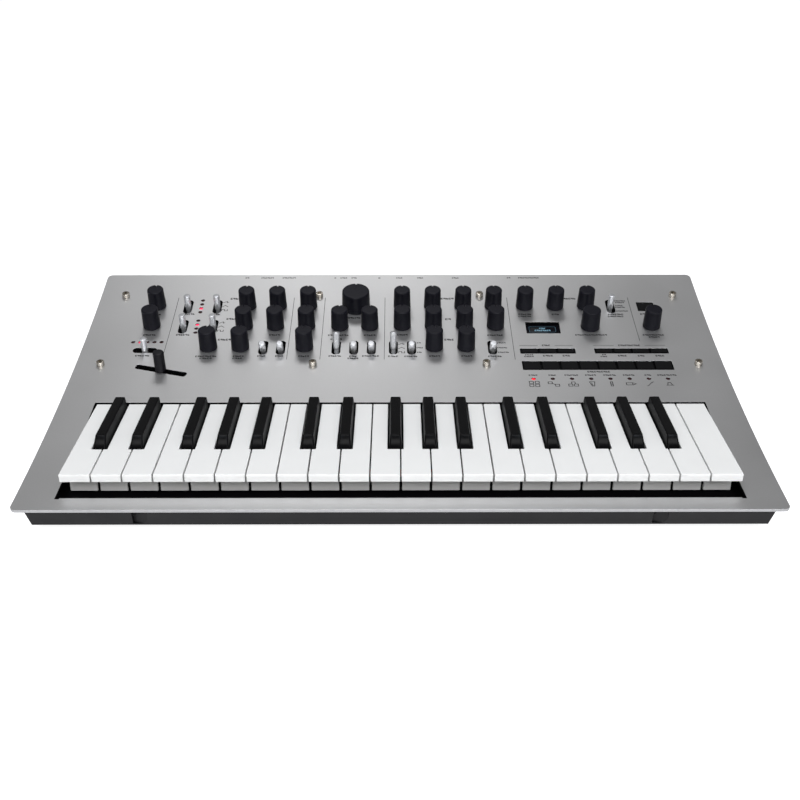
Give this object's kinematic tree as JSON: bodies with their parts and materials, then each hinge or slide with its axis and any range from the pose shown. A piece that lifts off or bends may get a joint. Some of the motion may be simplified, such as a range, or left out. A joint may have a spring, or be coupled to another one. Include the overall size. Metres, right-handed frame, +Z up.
{
  "type": "keyboard synthesizer",
  "caption": "Desk-top keyboard synthesizer with slim keys, a curved metal control panel, rotary knobs, lever switches and a wooden rear panel.",
  "frame": {"origin": "centre of the footprint on the surface the rubber feet stand on", "axes": "+X to the player's right along the keyboard, +Y away from the player, +Z up"},
  "size_m": [0.5, 0.3, 0.0821],
  "materials": {
    "sandblasted_aluminium": "fine blasted, satin",
    "charcoal_plastic": "fine texture",
    "oiled_wood": "oiled, straight grain",
    "nickel_screws": "bright nickel",
    "foot_rubber": "matt",
    "green_board": "solder mask",
    "socket_plastic": "moulded",
    "display_glass": "smoked window",
    "red_lens": "tinted lens",
    "key_chassis": "moulded",
    "knob_rubber": "soft-touch coat",
    "chrome_levers": "polished",
    "button_plastic": "satin",
    "pitch_lever_plastic": "satin",
    "white_keys": "satin gloss",
    "black_keys": "satin"
  },
  "bodies": {
    "chassis": {"top_panel": "sandblasted_aluminium", "lower_case": "charcoal_plastic", "rear_wood_panel": "oiled_wood", "screws": "nickel_screws", "rubber_feet": "foot_rubber", "control_board": "green_board", "socket_board": "socket_plastic", "display_module": "display_glass", "indicator_leds": "red_lens", "keybed": "key_chassis"},
    "knob_master_volume": {"knob_master_volume": "knob_rubber"},
    "knob_tempo": {"knob_tempo": "knob_rubber"},
    "knob_vco1_pitch": {"knob_vco1_pitch": "knob_rubber"},
    "knob_vco1_shape": {"knob_vco1_shape": "knob_rubber"},
    "knob_vco2_pitch": {"knob_vco2_pitch": "knob_rubber"},
    "knob_vco2_shape": {"knob_vco2_shape": "knob_rubber"},
    "knob_cross_modulation": {"knob_cross_modulation": "knob_rubber"},
    "knob_pitch_envelope": {"knob_pitch_envelope": "knob_rubber"},
    "knob_mix_oscillator_1": {"knob_mix_oscillator_1": "knob_rubber"},
    "knob_mix_oscillator_2": {"knob_mix_oscillator_2": "knob_rubber"},
    "knob_mix_noise": {"knob_mix_noise": "knob_rubber"},
    "knob_resonance": {"knob_resonance": "knob_rubber"},
    "knob_filter_envelope": {"knob_filter_envelope": "knob_rubber"},
    "knob_amp_attack": {"knob_amp_attack": "knob_rubber"},
    "knob_amp_decay": {"knob_amp_decay": "knob_rubber"},
    "knob_amp_sustain": {"knob_amp_sustain": "knob_rubber"},
    "knob_amp_release": {"knob_amp_release": "knob_rubber"},
    "knob_mod_attack": {"knob_mod_attack": "knob_rubber"},
    "knob_mod_decay": {"knob_mod_decay": "knob_rubber"},
    "knob_mod_sustain": {"knob_mod_sustain": "knob_rubber"},
    "knob_mod_release": {"knob_mod_release": "knob_rubber"},
    "knob_lfo_rate": {"knob_lfo_rate": "knob_rubber"},
    "knob_lfo_depth": {"knob_lfo_depth": "knob_rubber"},
    "knob_delay_cutoff": {"knob_delay_cutoff": "knob_rubber"},
    "knob_delay_time": {"knob_delay_time": "knob_rubber"},
    "knob_delay_feedback": {"knob_delay_feedback": "knob_rubber"},
    "knob_voice_depth": {"knob_voice_depth": "knob_rubber"},
    "knob_filter_cutoff": {"knob_filter_cutoff": "knob_rubber"},
    "knob_program_value": {"knob_program_value": "knob_rubber"},
    "levers_row_1": {"levers_row_1": "chrome_levers"},
    "levers_row_2": {"levers_row_2": "chrome_levers"},
    "levers_row_3_back": {"levers_row_3_back": "chrome_levers"},
    "levers_row_3_front": {"levers_row_3_front": "chrome_levers"},
    "lever_key_shift": {"lever_key_shift": "chrome_levers"},
    "pitch_lever": {"pitch_lever": "pitch_lever_plastic"},
    "function_buttons": {"function_buttons": "button_plastic"},
    "step_buttons": {"step_buttons": "button_plastic"},
    "power_button": {"power_button": "button_plastic"},
    "keys_c": {"keys_c": "white_keys"},
    "keys_d": {"keys_d": "white_keys"},
    "keys_e": {"keys_e": "white_keys"},
    "keys_f": {"keys_f": "white_keys"},
    "keys_g": {"keys_g": "white_keys"},
    "keys_a": {"keys_a": "white_keys"},
    "keys_b": {"keys_b": "white_keys"},
    "keys_c_sharp": {"keys_c_sharp": "black_keys"},
    "keys_d_sharp": {"keys_d_sharp": "black_keys"},
    "keys_f_sharp": {"keys_f_sharp": "black_keys"},
    "keys_g_sharp": {"keys_g_sharp": "black_keys"},
    "keys_a_sharp": {"keys_a_sharp": "black_keys"}
  },
  "joints": [
    {"name": "knob_master_volume_turn", "type": "hinge", "parent": "chassis", "child": "knob_master_volume", "pos_m": [-0.2002, 0.10578, 0.06412], "axis": [0, -0.242, 0.9703], "range_deg": [-150, 150]},
    {"name": "knob_tempo_turn", "type": "hinge", "parent": "chassis", "child": "knob_tempo", "pos_m": [-0.2002, 0.07836, 0.05756], "axis": [0, -0.2235, 0.9747], "range_deg": [-150, 150]},
    {"name": "knob_vco1_pitch_turn", "type": "hinge", "parent": "chassis", "child": "knob_vco1_pitch", "pos_m": [-0.1254, 0.105, 0.06393], "axis": [0, -0.2415, 0.9704], "range_deg": [-150, 150]},
    {"name": "knob_vco1_shape_turn", "type": "hinge", "parent": "chassis", "child": "knob_vco1_shape", "pos_m": [-0.1002, 0.105, 0.06393], "axis": [0, -0.2415, 0.9704], "range_deg": [-150, 150]},
    {"name": "knob_vco2_pitch_turn", "type": "hinge", "parent": "chassis", "child": "knob_vco2_pitch", "pos_m": [-0.1254, 0.07758, 0.05738], "axis": [0, -0.223, 0.9748], "range_deg": [-150, 150]},
    {"name": "knob_vco2_shape_turn", "type": "hinge", "parent": "chassis", "child": "knob_vco2_shape", "pos_m": [-0.1002, 0.07758, 0.05738], "axis": [0, -0.223, 0.9748], "range_deg": [-150, 150]},
    {"name": "knob_cross_modulation_turn", "type": "hinge", "parent": "chassis", "child": "knob_cross_modulation", "pos_m": [-0.1506, 0.04885, 0.05111], "axis": [0, -0.2037, 0.979], "range_deg": [-150, 150]},
    {"name": "knob_pitch_envelope_turn", "type": "hinge", "parent": "chassis", "child": "knob_pitch_envelope", "pos_m": [-0.1254, 0.04885, 0.05111], "axis": [0, -0.2037, 0.979], "range_deg": [-150, 150]},
    {"name": "knob_mix_oscillator_1_turn", "type": "hinge", "parent": "chassis", "child": "knob_mix_oscillator_1", "pos_m": [-0.075, 0.105, 0.06393], "axis": [0, -0.2415, 0.9704], "range_deg": [-150, 150]},
    {"name": "knob_mix_oscillator_2_turn", "type": "hinge", "parent": "chassis", "child": "knob_mix_oscillator_2", "pos_m": [-0.075, 0.07758, 0.05738], "axis": [0, -0.223, 0.9748], "range_deg": [-150, 150]},
    {"name": "knob_mix_noise_turn", "type": "hinge", "parent": "chassis", "child": "knob_mix_noise", "pos_m": [-0.075, 0.04885, 0.05111], "axis": [0, -0.2037, 0.979], "range_deg": [-150, 150]},
    {"name": "knob_resonance_turn", "type": "hinge", "parent": "chassis", "child": "knob_resonance", "pos_m": [-0.0482, 0.07709, 0.05727], "axis": [0, -0.2227, 0.9749], "range_deg": [-150, 150]},
    {"name": "knob_filter_envelope_turn", "type": "hinge", "parent": "chassis", "child": "knob_filter_envelope", "pos_m": [-0.024, 0.07709, 0.05727], "axis": [0, -0.2227, 0.9749], "range_deg": [-150, 150]},
    {"name": "knob_amp_attack_turn", "type": "hinge", "parent": "chassis", "child": "knob_amp_attack", "pos_m": [0.0022, 0.105, 0.06393], "axis": [0, -0.2415, 0.9704], "range_deg": [-150, 150]},
    {"name": "knob_amp_decay_turn", "type": "hinge", "parent": "chassis", "child": "knob_amp_decay", "pos_m": [0.0273, 0.105, 0.06393], "axis": [0, -0.2415, 0.9704], "range_deg": [-150, 150]},
    {"name": "knob_amp_sustain_turn", "type": "hinge", "parent": "chassis", "child": "knob_amp_sustain", "pos_m": [0.0524, 0.105, 0.06393], "axis": [0, -0.2415, 0.9704], "range_deg": [-150, 150]},
    {"name": "knob_amp_release_turn", "type": "hinge", "parent": "chassis", "child": "knob_amp_release", "pos_m": [0.0775, 0.105, 0.06393], "axis": [0, -0.2415, 0.9704], "range_deg": [-150, 150]},
    {"name": "knob_mod_attack_turn", "type": "hinge", "parent": "chassis", "child": "knob_mod_attack", "pos_m": [0.0022, 0.07758, 0.05738], "axis": [0, -0.223, 0.9748], "range_deg": [-150, 150]},
    {"name": "knob_mod_decay_turn", "type": "hinge", "parent": "chassis", "child": "knob_mod_decay", "pos_m": [0.0273, 0.07758, 0.05738], "axis": [0, -0.223, 0.9748], "range_deg": [-150, 150]},
    {"name": "knob_mod_sustain_turn", "type": "hinge", "parent": "chassis", "child": "knob_mod_sustain", "pos_m": [0.0524, 0.07758, 0.05738], "axis": [0, -0.223, 0.9748], "range_deg": [-150, 150]},
    {"name": "knob_mod_release_turn", "type": "hinge", "parent": "chassis", "child": "knob_mod_release", "pos_m": [0.0775, 0.07758, 0.05738], "axis": [0, -0.223, 0.9748], "range_deg": [-150, 150]},
    {"name": "knob_lfo_rate_turn", "type": "hinge", "parent": "chassis", "child": "knob_lfo_rate", "pos_m": [0.0273, 0.04885, 0.05111], "axis": [0, -0.2037, 0.979], "range_deg": [-150, 150]},
    {"name": "knob_lfo_depth_turn", "type": "hinge", "parent": "chassis", "child": "knob_lfo_depth", "pos_m": [0.0524, 0.04885, 0.05111], "axis": [0, -0.2037, 0.979], "range_deg": [-150, 150]},
    {"name": "knob_delay_cutoff_turn", "type": "hinge", "parent": "chassis", "child": "knob_delay_cutoff", "pos_m": [0.1034, 0.105, 0.06393], "axis": [0, -0.2415, 0.9704], "range_deg": [-150, 150]},
    {"name": "knob_delay_time_turn", "type": "hinge", "parent": "chassis", "child": "knob_delay_time", "pos_m": [0.1287, 0.105, 0.06393], "axis": [0, -0.2415, 0.9704], "range_deg": [-150, 150]},
    {"name": "knob_delay_feedback_turn", "type": "hinge", "parent": "chassis", "child": "knob_delay_feedback", "pos_m": [0.154, 0.105, 0.06393], "axis": [0, -0.2415, 0.9704], "range_deg": [-150, 150]},
    {"name": "knob_voice_depth_turn", "type": "hinge", "parent": "chassis", "child": "knob_voice_depth", "pos_m": [0.2038, 0.07758, 0.05738], "axis": [0, -0.223, 0.9748], "range_deg": [-150, 150]},
    {"name": "knob_filter_cutoff_turn", "type": "hinge", "parent": "chassis", "child": "knob_filter_cutoff", "pos_m": [-0.0358, 0.10452, 0.06381], "axis": [0, -0.2411, 0.9705], "range_deg": [-150, 150]},
    {"name": "knob_program_value_turn", "type": "hinge", "parent": "chassis", "child": "knob_program_value", "pos_m": [0.154, 0.07641, 0.05711], "axis": [0, -0.2222, 0.975], "continuous": true},
    {"name": "levers_row_1_tilt", "type": "hinge", "parent": "chassis", "child": "levers_row_1", "pos_m": [0, 0.10665, 0.05733], "axis": [1, 0, 0], "range_deg": [-25, 25]},
    {"name": "levers_row_2_tilt", "type": "hinge", "parent": "chassis", "child": "levers_row_2", "pos_m": [0, 0.07909, 0.05075], "axis": [1, 0, 0], "range_deg": [-25, 25]},
    {"name": "levers_row_3_back_tilt", "type": "hinge", "parent": "chassis", "child": "levers_row_3_back", "pos_m": [0, 0.05024, 0.04445], "axis": [1, 0, 0], "range_deg": [0, 50]},
    {"name": "levers_row_3_front_tilt", "type": "hinge", "parent": "chassis", "child": "levers_row_3_front", "pos_m": [0, 0.05024, 0.04445], "axis": [1, 0, 0], "range_deg": [-50, 0]},
    {"name": "lever_key_shift_tilt", "type": "hinge", "parent": "chassis", "child": "lever_key_shift", "pos_m": [-0.2001, 0.0467, 0.04372], "axis": [0, 0.9795, 0.2013], "range_deg": [-25, 25]},
    {"name": "pitch_lever_slide", "type": "slide", "parent": "chassis", "child": "pitch_lever", "axis": [0.9624, -0.267, -0.0497], "range_m": [-0.017, 0.017], "stiffness_N_per_m": 30},
    {"name": "function_buttons_press", "type": "slide", "parent": "chassis", "child": "function_buttons", "axis": [0, 0.2004, -0.9797], "range_m": [0, 0.001], "stiffness_N_per_m": 400, "springref_m": -0.0008},
    {"name": "step_buttons_press", "type": "slide", "parent": "chassis", "child": "step_buttons", "axis": [0, 0.1874, -0.9823], "range_m": [0, 0.001], "stiffness_N_per_m": 400, "springref_m": -0.0008},
    {"name": "power_button_press", "type": "slide", "parent": "chassis", "child": "power_button", "axis": [0, -1, 0], "range_m": [0, 0.002], "stiffness_N_per_m": 300, "springref_m": -0.0004},
    {"name": "keys_c_press", "type": "hinge", "parent": "chassis", "child": "keys_c", "pos_m": [0, 0.002, 0.0265], "axis": [1, 0, 0], "range_deg": [0, 3], "stiffness_Nm_per_rad": 1, "springref_deg": -6.88},
    {"name": "keys_d_press", "type": "hinge", "parent": "chassis", "child": "keys_d", "pos_m": [0, 0.002, 0.0265], "axis": [1, 0, 0], "range_deg": [0, 3], "stiffness_Nm_per_rad": 1, "springref_deg": -6.88},
    {"name": "keys_e_press", "type": "hinge", "parent": "chassis", "child": "keys_e", "pos_m": [0, 0.002, 0.0265], "axis": [1, 0, 0], "range_deg": [0, 3], "stiffness_Nm_per_rad": 1, "springref_deg": -6.88},
    {"name": "keys_f_press", "type": "hinge", "parent": "chassis", "child": "keys_f", "pos_m": [0, 0.002, 0.0265], "axis": [1, 0, 0], "range_deg": [0, 3], "stiffness_Nm_per_rad": 1, "springref_deg": -6.88},
    {"name": "keys_g_press", "type": "hinge", "parent": "chassis", "child": "keys_g", "pos_m": [0, 0.002, 0.0265], "axis": [1, 0, 0], "range_deg": [0, 3], "stiffness_Nm_per_rad": 1, "springref_deg": -6.88},
    {"name": "keys_a_press", "type": "hinge", "parent": "chassis", "child": "keys_a", "pos_m": [0, 0.002, 0.0265], "axis": [1, 0, 0], "range_deg": [0, 3], "stiffness_Nm_per_rad": 1, "springref_deg": -6.88},
    {"name": "keys_b_press", "type": "hinge", "parent": "chassis", "child": "keys_b", "pos_m": [0, 0.002, 0.0265], "axis": [1, 0, 0], "range_deg": [0, 3], "stiffness_Nm_per_rad": 1, "springref_deg": -6.88},
    {"name": "keys_c_sharp_press", "type": "hinge", "parent": "chassis", "child": "keys_c_sharp", "pos_m": [0, 0.002, 0.0265], "axis": [1, 0, 0], "range_deg": [0, 3], "stiffness_Nm_per_rad": 1, "springref_deg": -6.88},
    {"name": "keys_d_sharp_press", "type": "hinge", "parent": "chassis", "child": "keys_d_sharp", "pos_m": [0, 0.002, 0.0265], "axis": [1, 0, 0], "range_deg": [0, 3], "stiffness_Nm_per_rad": 1, "springref_deg": -6.88},
    {"name": "keys_f_sharp_press", "type": "hinge", "parent": "chassis", "child": "keys_f_sharp", "pos_m": [0, 0.002, 0.0265], "axis": [1, 0, 0], "range_deg": [0, 3], "stiffness_Nm_per_rad": 1, "springref_deg": -6.88},
    {"name": "keys_g_sharp_press", "type": "hinge", "parent": "chassis", "child": "keys_g_sharp", "pos_m": [0, 0.002, 0.0265], "axis": [1, 0, 0], "range_deg": [0, 3], "stiffness_Nm_per_rad": 1, "springref_deg": -6.88},
    {"name": "keys_a_sharp_press", "type": "hinge", "parent": "chassis", "child": "keys_a_sharp", "pos_m": [0, 0.002, 0.0265], "axis": [1, 0, 0], "range_deg": [0, 3], "stiffness_Nm_per_rad": 1, "springref_deg": -6.88}
  ]
}
